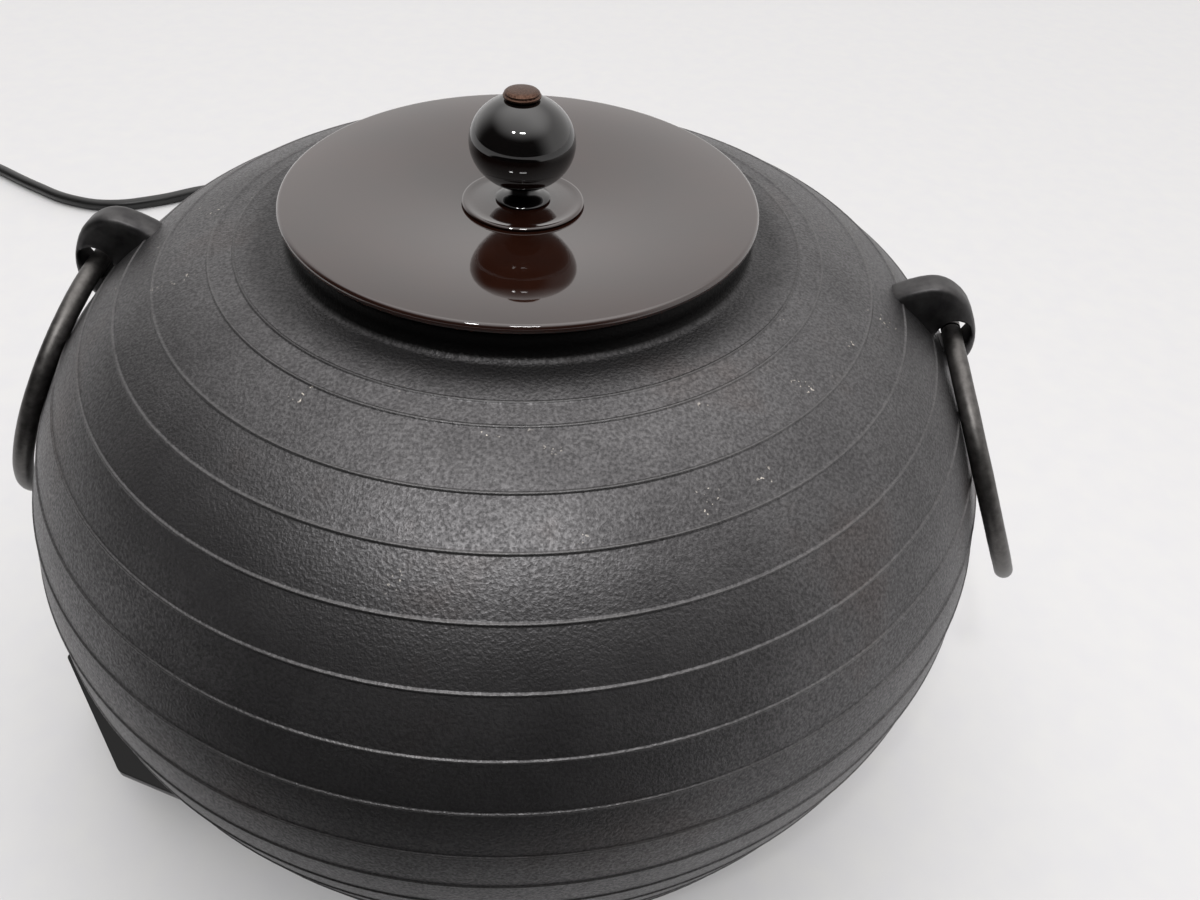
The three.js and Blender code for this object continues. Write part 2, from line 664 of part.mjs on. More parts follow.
function plug() {
  const group = new THREE.Group();
  const bodyZ = 9;
  const relief = turned([[0, 0], [4.2, 0], [5.6, 16], [0, 16]], 12).rotateY(Math.PI / 2);
  const outline = new THREE.Shape();
  outline.moveTo(15, -6.5);
  outline.lineTo(22, -11);
  outline.lineTo(39, -12);
  outline.lineTo(39, 12);
  outline.lineTo(22, 11);
  outline.lineTo(15, 6.5);
  outline.closePath();
  const bevel = { depth: 12, bevelThickness: 2, bevelSize: 2, bevelOffset: -2, bevelSegments: 1 };
  const head = new THREE.ExtrudeGeometry(outline, bevel).translate(0, 0, -6);
  addPiece(group, "plug_body", join(relief, head), cordBlack);
  for (const side of [-1, 1]) {
    const blade = new THREE.BoxGeometry(17, 1.5, 6.3).translate(39 + gap + 8.5, side * 6.35, 0);
    addPiece(group, side < 0 ? "plug_blade_1" : "plug_blade_2", blade, brass);
  }
  const turnRadius = coilOuter - cordRadius;
  const clear = Math.sqrt((coilOuter + gap) ** 2 - (turnRadius - 4.2) ** 2) + 1;
  const heading = rad(plugAngle + 90);
  const from = rad(plugAngle);
  group.position.set(
    coilCentre[0] + Math.cos(from) * turnRadius + Math.cos(heading) * clear,
    coilCentre[1] + Math.sin(from) * turnRadius + Math.sin(heading) * clear,
    bodyZ,
  );
  group.rotation.z = heading;
  cordGroup.add(group);
}
cordParts();

const teaKettle = new THREE.Group();
teaKettle.add(baseGroup, kettleGroup, lidGroup, cordGroup);

export default teaKettle;
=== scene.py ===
import math

import bpy
from mathutils import Matrix, Vector


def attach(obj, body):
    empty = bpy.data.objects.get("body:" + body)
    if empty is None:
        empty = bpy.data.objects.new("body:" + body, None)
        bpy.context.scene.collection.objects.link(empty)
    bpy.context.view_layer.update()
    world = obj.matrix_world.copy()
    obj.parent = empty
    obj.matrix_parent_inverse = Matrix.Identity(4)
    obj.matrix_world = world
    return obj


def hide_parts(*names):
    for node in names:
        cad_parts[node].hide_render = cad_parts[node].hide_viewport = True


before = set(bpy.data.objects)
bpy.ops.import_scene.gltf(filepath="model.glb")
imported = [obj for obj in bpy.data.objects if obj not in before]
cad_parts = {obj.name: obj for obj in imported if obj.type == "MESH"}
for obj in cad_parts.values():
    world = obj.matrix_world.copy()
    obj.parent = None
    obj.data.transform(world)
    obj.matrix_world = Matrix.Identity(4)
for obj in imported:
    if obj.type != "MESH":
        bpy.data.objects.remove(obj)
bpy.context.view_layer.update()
mm = 0.001


def clearSelection():
    if bpy.context.object and bpy.context.object.mode != "OBJECT":
        bpy.ops.object.mode_set(mode="OBJECT")
    bpy.ops.object.select_all(action="DESELECT")


def only(piece):
    clearSelection()
    piece.select_set(True)
    bpy.context.view_layer.objects.active = piece


def settle(piece):  # puts the piece's place, turn and size into its mesh
    only(piece)
    bpy.ops.object.transform_apply(location=True, rotation=True, scale=True)


def draw(name, points):
    # one vertex, extruded from point to point
    clearSelection()
    start = Vector(points[0]) * mm
    bpy.ops.mesh.primitive_plane_add(size=mm, location=start)
    piece = bpy.context.object
    piece.name = piece.data.name = name
    settle(piece)
    bpy.ops.object.mode_set(mode="EDIT")
    bpy.ops.mesh.select_mode(type="VERT")
    bpy.ops.mesh.select_all(action="SELECT")
    bpy.ops.mesh.merge(type="CENTER")
    for here, there in zip(points, points[1:]):
        step = (Vector(there) - Vector(here)) * mm
        bpy.ops.mesh.extrude_region_move(TRANSFORM_OT_translate={"value": step})
    return piece


def spinUp(name, outline, sides=96, smooth=38):
    # outline is (radius, height) pairs, spun about the upright through the origin
    piece = draw(name, [(r, 0, z) for r, z in outline])
    bpy.ops.mesh.select_all(action="SELECT")
    bpy.ops.mesh.spin(steps=sides, angle=math.tau, center=(0, 0, 0), axis=(0, 0, 1))
    bpy.ops.mesh.select_all(action="SELECT")
    bpy.ops.mesh.remove_doubles(threshold=2e-6)
    bpy.ops.mesh.normals_make_consistent(inside=False)
    bpy.ops.object.mode_set(mode="OBJECT")
    only(piece)
    bpy.ops.object.shade_smooth_by_angle(angle=math.radians(smooth))
    return piece


def plate(name, points, low, high):
    # a flat outline, filled and pulled up to a thickness
    piece = draw(name, [(x, y, low) for x, y in [*points, points[0]]])
    bpy.ops.mesh.select_all(action="SELECT")
    bpy.ops.mesh.remove_doubles(threshold=1e-6)
    bpy.ops.mesh.select_all(action="SELECT")
    bpy.ops.mesh.edge_face_add()
    bpy.ops.mesh.extrude_region_move(TRANSFORM_OT_translate={"value": (0, 0, (high - low) * mm)})
    bpy.ops.mesh.select_all(action="SELECT")
    bpy.ops.mesh.normals_make_consistent(inside=False)
    bpy.ops.object.mode_set(mode="OBJECT")
    return piece


def modify(piece, kind, **settings):
    only(piece)
    modifier = piece.modifiers.new(kind.title(), kind)
    for key, value in settings.items():
        setattr(modifier, key, value)
    bpy.ops.object.modifier_apply(modifier=modifier.name)


def soften(piece, width, segments=3, angle=35, smooth=38):
    modify(piece, "BEVEL", width=width * mm, segments=segments, limit_method="ANGLE",
           angle_limit=math.radians(angle), harden_normals=False)
    only(piece)
    bpy.ops.object.shade_smooth_by_angle(angle=math.radians(smooth))


def take(piece, cutter, operation="DIFFERENCE"):
    modify(piece, "BOOLEAN", object=cutter, operation=operation, solver="EXACT")
    bpy.data.objects.remove(cutter)


def drum(radius, low, high, spot=(0, 0), sides=64):
    clearSelection()
    bpy.ops.mesh.primitive_cylinder_add(vertices=sides, radius=radius * mm, depth=(high - low) * mm,
                                        location=(spot[0] * mm, spot[1] * mm, (low + high) / 2 * mm))
    piece = bpy.context.object
    settle(piece)
    return piece


def brick(long, wide, low, high, spot=(0, 0), turn=0.0):
    clearSelection()
    bpy.ops.mesh.primitive_cube_add(size=mm, location=(spot[0] * mm, spot[1] * mm, (low + high) / 2 * mm),
                                    rotation=(0, 0, math.radians(turn)))
    piece = bpy.context.object
    piece.scale = (long, wide, high - low)
    settle(piece)
    return piece


def reworked(node, name, flat=True):
    # a merged copy of a CAD node, to be finished as a casting or moulding
    piece = bpy.data.objects.new(name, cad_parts[node].data.copy())
    bpy.context.scene.collection.objects.link(piece)
    only(piece)
    bpy.ops.object.mode_set(mode="EDIT")
    bpy.ops.mesh.select_all(action="SELECT")
    bpy.ops.mesh.remove_doubles(threshold=5e-6)
    if flat:
        bpy.ops.mesh.dissolve_limited(angle_limit=math.radians(1.5))
    bpy.ops.object.mode_set(mode="OBJECT")
    return piece


def spotAt(radius, angle):
    return (radius * math.cos(math.radians(angle)), radius * math.sin(math.radians(angle)))


def sweep(middle, radii, start, end, count):
    # points on an ellipse quarter or any other part of one, both ends included
    turns = [math.radians(start + (end - start) * i / count) for i in range(count + 1)]
    return [(middle[0] + radii[0] * math.cos(t), middle[1] + radii[1] * math.sin(t)) for t in turns]


def place(piece, body, slot, material, *nodes):
    piece.data.materials.clear()
    piece.data.materials.append(material)
    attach(piece, body)
    if nodes:
        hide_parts(*nodes)
    return piece


# camera: above and in front, tipped slightly, a wide lens
camera = bpy.data.objects.new("camera", bpy.data.cameras.new("camera"))
bpy.context.scene.collection.objects.link(camera)
camera.data.lens = 26.4
camera.data.sensor_width = 36
camera.data.clip_start = 0.01
right, up = Vector((0.99863, 0.0, 0.0524)), Vector((-0.0380, 0.6886, 0.7241))
back = right.cross(up)
camera.matrix_world = Matrix((
    (right.x, up.x, back.x, 0.01438),
    (right.y, up.y, back.y, -0.21340),
    (right.z, up.z, back.z, 0.30791),
    (0, 0, 0, 1),
))
bpy.context.scene.camera = camera
print("camera set")


# materials
def colour(code, alpha=1.0):  # sRGB hex to linear
    parts = [int(code[i:i + 2], 16) / 255 for i in (1, 3, 5)]
    return (*[c / 12.92 if c <= 0.04045 else ((c + 0.055) / 1.055) ** 2.4 for c in parts], alpha)


def add(tree, kind, inputs=None, stops=None, **settings):
    made = tree.nodes.new(kind)
    for key, value in settings.items():
        setattr(made, key, value)
    for key, value in (inputs or {}).items():
        if isinstance(value, bpy.types.NodeSocket):
            tree.links.new(value, made.inputs[key])
        else:
            made.inputs[key].default_value = value
    if stops:
        ramp = made.color_ramp
        while len(ramp.elements) < len(stops):
            ramp.elements.new(1.0)
        for element, (position, tint) in zip(ramp.elements, stops):
            element.position, element.color = position, colour(tint)
    return made


def begin(name, **shaderInputs):
    material = bpy.data.materials.new(name)
    material.use_nodes = True
    tree = material.node_tree
    shader = tree.nodes["Principled BSDF"]
    for key, value in shaderInputs.items():
        shader.inputs[key.replace("_", " ")].default_value = value
    coords = add(tree, "ShaderNodeTexCoord").outputs["Object"]
    return material, tree, shader, coords


def finishWith(tree, shader, tint=None, rough=None, bump=None, coatBump=False):
    if tint:
        tree.links.new(tint, shader.inputs["Base Color"])
    if rough:
        tree.links.new(rough, shader.inputs["Roughness"])
    if bump:
        tree.links.new(bump, shader.inputs["Normal"])
        if coatBump:
            tree.links.new(bump, shader.inputs["Coat Normal"])


def sandCastIron(name="ironSandCast", grit=0.75, depth=0.16):
    # cast iron from a sand mould, baked and oiled dark: fine even pebbles under a soft grey sheen
    look = {"dark": "#4f4e4f", "mid": "#5c5b5c", "brown": "#585352", "paintedCrestHighlight": "#676666", "lime": "#d9d2c8",
            "neck": "#232222"}
    material, tree, shader, coords = begin(name, Metallic=0.95)
    mottle = add(tree, "ShaderNodeTexNoise", {"Vector": coords, "Scale": 1 / (38 * mm), "Detail": 4.0,
                                              "Roughness": 0.62})
    tint = add(tree, "ShaderNodeValToRGB", {"Fac": mottle.outputs["Fac"]},
               stops=[(0.3, look["dark"]), (0.55, look["mid"]), (0.78, look["brown"])])
    pebbles = add(tree, "ShaderNodeTexNoise", {"Vector": coords, "Scale": 1 / (grit * mm), "Detail": 2.0,
                                               "Roughness": 0.6})
    bump = add(tree, "ShaderNodeBump", {"Height": pebbles.outputs["Fac"], "Strength": 0.9,
                                        "Distance": depth * mm})
    hollow = add(tree, "ShaderNodeMapRange", {"Value": pebbles.outputs["Fac"], "From Min": 0.32,
                                              "From Max": 0.68, "To Min": 0.52, "To Max": 0.38})
    shade = add(tree, "ShaderNodeMapRange", {"Value": pebbles.outputs["Fac"], "From Min": 0.34,
                                             "From Max": 0.66, "To Min": 0.68, "To Max": 1.24})
    grains = add(tree, "ShaderNodeVectorMath", {0: tint.outputs["Color"], "Scale": shade.outputs["Result"]},
                 operation="SCALE")
    # painted highlight: the thread crests are lightened, patchily, as if they caught the light
    edge = add(tree, "ShaderNodeAttribute", attribute_name="threadCrestHighlight")
    crestHighlightMask = add(tree, "ShaderNodeMath", {0: edge.outputs["Fac"], 1: mottle.outputs["Fac"]},
                 operation="MULTIPLY")
    paintedCrestHighlight = add(tree, "ShaderNodeMix", {"Factor": crestHighlightMask.outputs[0], "A": grains.outputs["Vector"],
                                       "B": colour(look["paintedCrestHighlight"])}, data_type="RGBA")
    surface = paintedCrestHighlight.outputs["Result"]
    # a few specks of scale on the shoulder, in loose groups; by the neck the iron is smoother, and the neck
    # band is painted near-black as painted shade under the lid
    crumbs = add(tree, "ShaderNodeTexNoise", {"Vector": coords, "Scale": 1 / (0.9 * mm), "Detail": 1.0})
    dot = add(tree, "ShaderNodeMapRange", {"Value": crumbs.outputs["Fac"], "From Min": 0.655,
                                           "From Max": 0.7, "To Min": 0.0, "To Max": 1.0})
    groups = add(tree, "ShaderNodeTexNoise", {"Vector": coords, "Scale": 1 / (11 * mm), "Detail": 1.0})
    odds = add(tree, "ShaderNodeMapRange", {"Value": groups.outputs["Fac"], "From Min": 0.68,
                                            "From Max": 0.72, "To Min": 0.0, "To Max": 1.0})
    specks = add(tree, "ShaderNodeMath", {0: dot.outputs["Result"], 1: odds.outputs["Result"]},
                 operation="MULTIPLY")
    height = add(tree, "ShaderNodeSeparateXYZ", {"Vector": coords})
    shoulder = add(tree, "ShaderNodeMapRange", {"Value": height.outputs["Z"], "From Min": 160 * mm,
                                                "From Max": 180 * mm, "To Min": 0.0, "To Max": 0.75})
    kept = add(tree, "ShaderNodeMath", {0: specks.outputs[0], 1: shoulder.outputs["Result"]},
               operation="MULTIPLY")
    dusted = add(tree, "ShaderNodeMix", {"Factor": kept.outputs[0], "A": surface,
                                         "B": colour(look["lime"])}, data_type="RGBA")
    # painted shade: the neck band under the lid is mixed to the near-black neck colour
    neck = add(tree, "ShaderNodeMapRange", {"Value": height.outputs["Z"], "From Min": 189.2 * mm,
                                            "From Max": 190.0 * mm, "To Min": 0.0, "To Max": 1.0})
    neckPaintedShade = add(tree, "ShaderNodeMix", {"Factor": neck.outputs["Result"], "A": dusted.outputs["Result"],
                                          "B": colour(look["neck"])}, data_type="RGBA")
    # painted shadow of the lid: from the flat of the shoulder up to the neck the colour is darkened to half
    lidShadowMask = add(tree, "ShaderNodeMapRange", {"Value": height.outputs["Z"], "From Min": 188.1 * mm,
                                           "From Max": 188.8 * mm, "To Min": 1.0, "To Max": 0.5})
    lidShadowed = add(tree, "ShaderNodeVectorMath", {0: neckPaintedShade.outputs["Result"], "Scale": lidShadowMask.outputs["Result"]},
                operation="SCALE")
    finishWith(tree, shader, lidShadowed.outputs["Vector"], hollow.outputs["Result"], bump.outputs["Normal"])
    return material


def lacquer(name, deep, warm, gloss=0.02, wave=0.02, coat=0.75):
    # polished lacquer over metal: a deep glassy coat, with a faint waviness in what it mirrors
    material, tree, shader, coords = begin(name, IOR=1.55, Coat_Weight=coat, Coat_Roughness=0.03,
                                           Coat_IOR=1.55)
    cloud = add(tree, "ShaderNodeTexNoise", {"Vector": coords, "Scale": 1 / (22 * mm), "Detail": 3.0})
    tint = add(tree, "ShaderNodeValToRGB", {"Fac": cloud.outputs["Fac"]}, stops=[(0.3, deep), (0.75, warm)])
    brush = add(tree, "ShaderNodeTexNoise", {"Vector": coords, "Scale": 1 / (6 * mm), "Detail": 2.0})
    rough = add(tree, "ShaderNodeMapRange", {"Value": brush.outputs["Fac"], "To Min": gloss,
                                             "To Max": gloss + 0.05})
    bump = add(tree, "ShaderNodeBump", {"Height": brush.outputs["Fac"], "Strength": 0.35,
                                        "Distance": wave * mm})
    finishWith(tree, shader, tint.outputs["Color"], rough.outputs["Result"], bump.outputs["Normal"], True)
    return material


def metal(name, low, high, rough, grain, depth=0.03, stretch=(1, 1, 1)):
    # bare or oiled metal: tone and gloss vary with the marks of forging, turning or rolling
    material, tree, shader, coords = begin(name, Metallic=1.0)
    turned = add(tree, "ShaderNodeMapping", {"Vector": coords, "Scale": stretch})
    marks = add(tree, "ShaderNodeTexNoise", {"Vector": turned.outputs["Vector"], "Scale": 1 / (grain * mm),
                                             "Detail": 4.0, "Roughness": 0.6})
    tint = add(tree, "ShaderNodeValToRGB", {"Fac": marks.outputs["Fac"]}, stops=[(0.3, low), (0.72, high)])
    gloss = add(tree, "ShaderNodeMapRange", {"Value": marks.outputs["Fac"], "To Min": rough - 0.08,
                                             "To Max": rough + 0.1})
    bump = add(tree, "ShaderNodeBump", {"Height": marks.outputs["Fac"], "Strength": 0.5,
                                        "Distance": depth * mm})
    finishWith(tree, shader, tint.outputs["Color"], gloss.outputs["Result"], bump.outputs["Normal"])
    return material


def moulded(name, low, high, rough, grain, depth=0.02, **more):
    # moulded plastic, rubber, paint or fired clay: a fine even grain under a soft gloss
    material, tree, shader, coords = begin(name, **more)
    marks = add(tree, "ShaderNodeTexNoise", {"Vector": coords, "Scale": 1 / (grain * mm), "Detail": 3.0})
    broad = add(tree, "ShaderNodeTexNoise", {"Vector": coords, "Scale": 1 / (14 * mm), "Detail": 2.0})
    tint = add(tree, "ShaderNodeValToRGB", {"Fac": broad.outputs["Fac"]}, stops=[(0.3, low), (0.72, high)])
    gloss = add(tree, "ShaderNodeMapRange", {"Value": broad.outputs["Fac"], "To Min": rough - 0.05,
                                             "To Max": rough + 0.07})
    bump = add(tree, "ShaderNodeBump", {"Height": marks.outputs["Fac"], "Strength": 0.5,
                                        "Distance": depth * mm})
    finishWith(tree, shader, tint.outputs["Color"], gloss.outputs["Result"], bump.outputs["Normal"])
    return material


ironSandCast = sandCastIron()
ironEar = metal("ironCastRubbed", "#3b3a3b", "#545353", 0.42, 5.0, depth=0.12)
ironForged = metal("ironForgedOiled", "#4d4b4a", "#6a6866", 0.4, 2.2, depth=0.06)
lacquerBrown = lacquer("lacquerWipedBrown", "#1f0f0a", "#29140d")
lacquerBlack = lacquer("lacquerPolishedBlack", "#070606", "#0d0908", wave=0.006, coat=0.25)
bronzeCast = metal("bronzeCastPatina", "#35241d", "#6a5246", 0.4, 0.45, depth=0.2)
brassTurned = metal("brassTurned", "#8d6b34", "#c29a55", 0.28, 0.5, stretch=(1, 1, 8))
steelRolled = metal("steelRolled", "#9a9a98", "#c6c6c4", 0.3, 0.8, stretch=(1, 6, 1))
steelPlated = metal("steelZincPlated", "#85878a", "#b9bcbf", 0.35, 0.7)
ironGround = metal("ironGroundPlate", "#242322", "#3d3b39", 0.5, 0.9, depth=0.06)
enamelBlack = moulded("enamelStovedBlack", "#040404", "#080808", 0.3, 0.9, depth=0.006,
                      Specular_IOR_Level=0.2)
enamelMatt = moulded("enamelMattBlack", "#101010", "#191918", 0.45, 0.6, depth=0.05)
bakelite = moulded("phenolicMoulded", "#0c0b0b", "#171514", 0.28, 0.5, depth=0.015)
rubberBlack = moulded("rubberMoulded", "#101010", "#1b1b1a", 0.62, 0.45, depth=0.05)
vinylCord = moulded("vinylExtruded", "#0d0d0d", "#191919", 0.36, 0.8, depth=0.03)
steatite = moulded("steatiteFired", "#d8d0c0", "#eee8dc", 0.4, 0.5, depth=0.04)
mineralWool = moulded("mineralFelt", "#a39878", "#cfc6aa", 0.9, 0.9, depth=0.5)
silicone = moulded("siliconeSleeve", "#8e2a20", "#b03a2c", 0.45, 0.5)
amberLens = moulded("acrylicAmber", "#c25a0a", "#e87a16", 0.08, 1.0, depth=0.004, Transmission_Weight=0.35,
                    Coat_Weight=0.5)
print("materials made")


# mains lead: from the base to a tied coil outside the view
cordSize = {
    "radius": 3.5, "start": (-36.65, 136.8, 15.6), "centre": (-480, 370), "entry": 59.4,
    "turns": (45.5, 38.4, 31.3), "low": 3.6, "high": 10.7, "shift": 120, "dip": 2.6, "step": 15,
    "leave": 190.6, "tail": 27.9, "plugHeight": 9.0,
}
route = [
    (-41.6, 155.2, 15.3), (-48.4, 180, 12.2), (-57, 205, 7.9), (-68, 231, 4.7), (-89, 270, 3.7),
    (-121, 314, 3.7), (-151, 344, 3.7), (-185, 362, 3.7), (-218, 364, 3.7), (-245, 354, 3.7),
    (-270, 338, 3.7), (-298, 328, 3.7), (-325, 332, 3.7), (-356, 348, 3.7), (-394, 372, 3.7),
]


def coilPoints():
    c = cordSize
    outer, middle, inner = c["turns"]
    low, high, whole, shift = c["low"], c["high"], 360 - c["shift"], c["shift"]
    legs = [  # radius and height at the start and end of each leg, and how far it turns
        (outer, outer, low, low, whole), (outer, middle, low, low, shift),
        (middle, middle, low, low, whole), (middle, inner, low, low, shift),
        (inner, inner, low, low, whole), (inner, inner, low, high, shift),
        (inner, inner, high, high, whole), (inner, middle, high, high, shift),
        (middle, middle, high, high, whole), (middle, outer, high, high, shift),
        (outer, outer, high, high, c["leave"]),
    ]
    points, angle = [], c["entry"]
    for radiusA, radiusB, lowA, lowB, turn in legs:
        count = round(turn / c["step"])
        for i in range(count):
            part = i / count
            ease = part * part * (3 - 2 * part)
            dip = c["dip"] * math.sin(math.pi * part) ** 2 if lowA != lowB else 0.0
            x, y = spotAt(radiusA + (radiusB - radiusA) * ease - dip, angle + turn * part)
            points.append((c["centre"][0] + x, c["centre"][1] + y, lowA + (lowB - lowA) * ease))
        angle += turn
    x, y = spotAt(outer, angle)
    heading = math.radians(angle + 90)
    for part in (0.0, 0.5, 1.0):
        run = c["tail"] * part
        points.append((c["centre"][0] + x + math.cos(heading) * run,
                       c["centre"][1] + y + math.sin(heading) * run,
                       c["high"] + (c["plugHeight"] - c["high"]) * part))
    return points


def makeCord():
    c = cordSize
    line = bpy.data.curves.new("mainsLead", "CURVE")
    line.dimensions = "3D"
    line.bevel_depth = c["radius"] * mm
    line.bevel_resolution = 5
    line.resolution_u = 6
    line.use_fill_caps = True
    spline = line.splines.new("BEZIER")
    points = [c["start"], *route, *coilPoints()]
    spline.bezier_points.add(len(points) - 1)
    for knot, point in zip(spline.bezier_points, points):
        knot.co = Vector(point) * mm
        knot.handle_left_type = knot.handle_right_type = "AUTO"
    piece = bpy.data.objects.new("mainsLead", line)
    bpy.context.scene.collection.objects.link(piece)
    bpy.context.view_layer.update()
    place(piece, "base", "cord", vinylCord, "power_cord", "cord_coil")
    return piece, spline.calc_length()


mainsLead, leadLength = makeCord()

plugBody = reworked("plug_body", "plugBody")
soften(plugBody, 1.0, segments=4)
place(plugBody, "base", "cord", vinylCord, "plug_body")
coilTie = reworked("coil_tie", "coilTie")
soften(coilTie, 0.3, segments=2)
place(coilTie, "base", "cord", rubberBlack, "coil_tie")
for number in (1, 2):
    blade = reworked(f"plug_blade_{number}", f"plugBlade{number}")
    soften(blade, 0.5, segments=3)
    place(blade, "base", "brass", brassTurned, f"plug_blade_{number}")
print(f"mains lead laid, {leadLength:.2f} m")


# kettle casting: one profile outside, one inside, with fine raised threads round the flank
kettleSize = {
    "bottom": 30.3, "foot": 66.0, "knee": 24.0, "kneeInset": 10.0, "wide": 140.3, "widest": 107.3,
    "shoulder": 188.9, "neckFoot": 63.0, "neck": 60.5, "neckTop": 195.8, "wall": 4.0, "neckWall": 6.0,
    "threadHeight": 0.34, "threadHalf": 0.5, "sides": 200,
}
threadHeights = [186.9, 182.0, 176.1, 167.7, 157.5, 145.4, 133.3, 119.9, 106.9, 94.0, 81.2, 68.6, 56.4, 45.0]


def bezier(a, b, c, d, count):
    points = []
    for i in range(count + 1):
        t = i / count
        u = 1 - t
        points.append(tuple(u ** 3 * a[k] + 3 * u * u * t * b[k] + 3 * u * t * t * c[k] + t ** 3 * d[k]
                            for k in (0, 1)))
    return points


def flank(grow, fine):
    k = kettleSize
    low, wide = k["bottom"] - grow, k["wide"] + grow
    knee, kneeZ = wide - k["kneeInset"], low + k["knee"]
    under = bezier((k["foot"], low), (k["foot"] + 41, low), (knee - 3.7, low + 10), (knee, kneeZ), fine)
    side = bezier((knee, kneeZ), (knee + 3.3, kneeZ + 12.5), (wide, k["widest"] - 19), (wide, k["widest"]),
                  fine)
    crown = sweep((k["neckFoot"], k["widest"]), (wide - k["neckFoot"], k["shoulder"] + grow - k["widest"]),
                  0, 90, 2 * fine)
    return under + side[1:] + crown[1:]


def threaded(path):
    # lifts a narrow rounded thread out of the outline at each height
    k = kettleSize
    lengths = [0.0]
    for here, there in zip(path, path[1:]):
        lengths.append(lengths[-1] + math.dist(here, there))

    def at(run):
        for i in range(1, len(path)):
            if lengths[i] >= run or i == len(path) - 1:
                part = (run - lengths[i - 1]) / (lengths[i] - lengths[i - 1])
                here, there = Vector(path[i - 1]), Vector(path[i])
                side = (there - here).normalized()
                return here.lerp(there, part), Vector((side.y, -side.x))

    crests = []
    for height in threadHeights:
        i = next(i for i in range(1, len(path)) if path[i][1] >= height)
        part = (height - path[i - 1][1]) / (path[i][1] - path[i - 1][1])
        crests.append(lengths[i - 1] + part * (lengths[i] - lengths[i - 1]))
    crests.append(lengths[-1] - 10.8)  # the first thread, on the flat of the shoulder
    half, outline, crestHighlight = k["threadHalf"], [], []
    shape = [(-1.5, 0.0), (-1.15, 0.0), (-0.9, 0.1), (-0.6, 0.55), (-0.25, 0.95), (0.0, 1.0), (0.25, 0.95),
             (0.6, 0.55), (0.9, 0.1), (1.15, 0.0), (1.5, 0.0)]
    stops = [(crest + half * a, k["threadHeight"] * b) for crest in crests for a, b in shape]
    clear = [run for run in (2.4 * n for n in range(int(lengths[-1] / 2.4) + 1))
             if all(abs(run - crest) > 2.4 * half for crest in crests)]
    for run, lift in sorted(stops + [(run, 0.0) for run in clear] + [(lengths[-1], 0.0)]):
        point, normal = at(run)
        outline.append(tuple(point + normal * lift))
        crestHighlight.append(lift / k["threadHeight"])
    return outline, crestHighlight


def makeKettle():
    k = kettleSize
    outside, crestHighlight = threaded(flank(0, 60))
    inside = list(reversed(flank(-k["wall"], 16)))
    mouth = k["neck"] - k["neckWall"]
    neck = [
        (k["neck"] + 1.6, k["shoulder"] + 0.25), (k["neck"] + 0.7, k["shoulder"] + 0.9),
        (k["neck"] + 0.15, k["shoulder"] + 2.0), (k["neck"], k["shoulder"] + 3.4),
        (k["neck"], k["neckTop"] - 0.6),
        (k["neck"] - 0.6, k["neckTop"]), (mouth + 0.6, k["neckTop"]), (mouth, k["neckTop"] - 0.6),
        (mouth, k["shoulder"] - k["wall"] + 1), (mouth + 0.7, k["shoulder"] - k["wall"]),
    ]
    under = [(0, k["bottom"] + 1.2), (k["foot"] - 9, k["bottom"] + 1.2), (k["foot"] - 7, k["bottom"])]
    inside = [p for p in inside if p[0] > mouth + 2 or p[1] < k["widest"]]
    outline = under + outside + neck + inside + [(0, k["bottom"] + k["wall"] + 1.2)]
    piece = spinUp("kettleBody", outline, k["sides"], smooth=50)
    # how high each vertex stands on a thread crest, for the body's painted highlight on the crests
    marks = piece.data.attributes.new("threadCrestHighlight", "FLOAT", "POINT")
    crests = {}
    for (radius, height), value in zip(outside, crestHighlight):
        crests[(round(radius, 2), round(height, 2))] = value
    values = []
    for v in piece.data.vertices:
        key = (round(math.hypot(v.co.x, v.co.y) / mm, 2), round(v.co.z / mm, 2))
        values.append(crests.get(key, 0.0))
    marks.data.foreach_set("value", values)
    return place(piece, "kettle", "cast_iron", ironSandCast, "kettle_body")


makeKettle()
print("kettle body made")


# cast ears
earSize = {"voxel": 0.55, "rounds": 9, "root": 1.8, "rootReach": 1.012}


def makeEar(side):
    piece = reworked(f"lug_{side}", f"{side}Ear", flat=False)
    k = kettleSize
    for v in piece.data.vertices:  # the root runs down into the flank, as one casting
        r, z = math.hypot(v.co.x, v.co.y) / mm, v.co.z / mm
        away = math.hypot((r - k["neckFoot"]) / (k["wide"] - k["neckFoot"]),
                          (z - k["widest"]) / (k["shoulder"] - k["widest"]))
        if away < earSize["rootReach"]:
            shift = earSize["root"] / max(r, 1)
            v.co.x -= v.co.x * shift
            v.co.y -= v.co.y * shift
            v.co.z -= earSize["root"] * mm
    modify(piece, "REMESH", mode="VOXEL", voxel_size=earSize["voxel"] * mm)
    modify(piece, "SMOOTH", factor=0.6, iterations=earSize["rounds"])
    only(piece)
    bpy.ops.object.shade_smooth()
    return place(piece, "kettle", "cast_iron", ironEar, f"lug_{side}")


for earSide in ("left", "right"):
    makeEar(earSide)

# forged rings, closed by a butt joint that sits in the ear's hole
ringSize = {
    "radius": 41.3, "wire": 2.6, "drop": 1.0, "inset": 19.3, "dropHole": 20.6, "joint": 1.2, "sides": 120,
    "uneven": 0.16,
    "left": {"angle": 176.6, "facing": 179.5, "lean": 24.5}, "right": {"angle": -5, "facing": -9, "lean": 27},
}


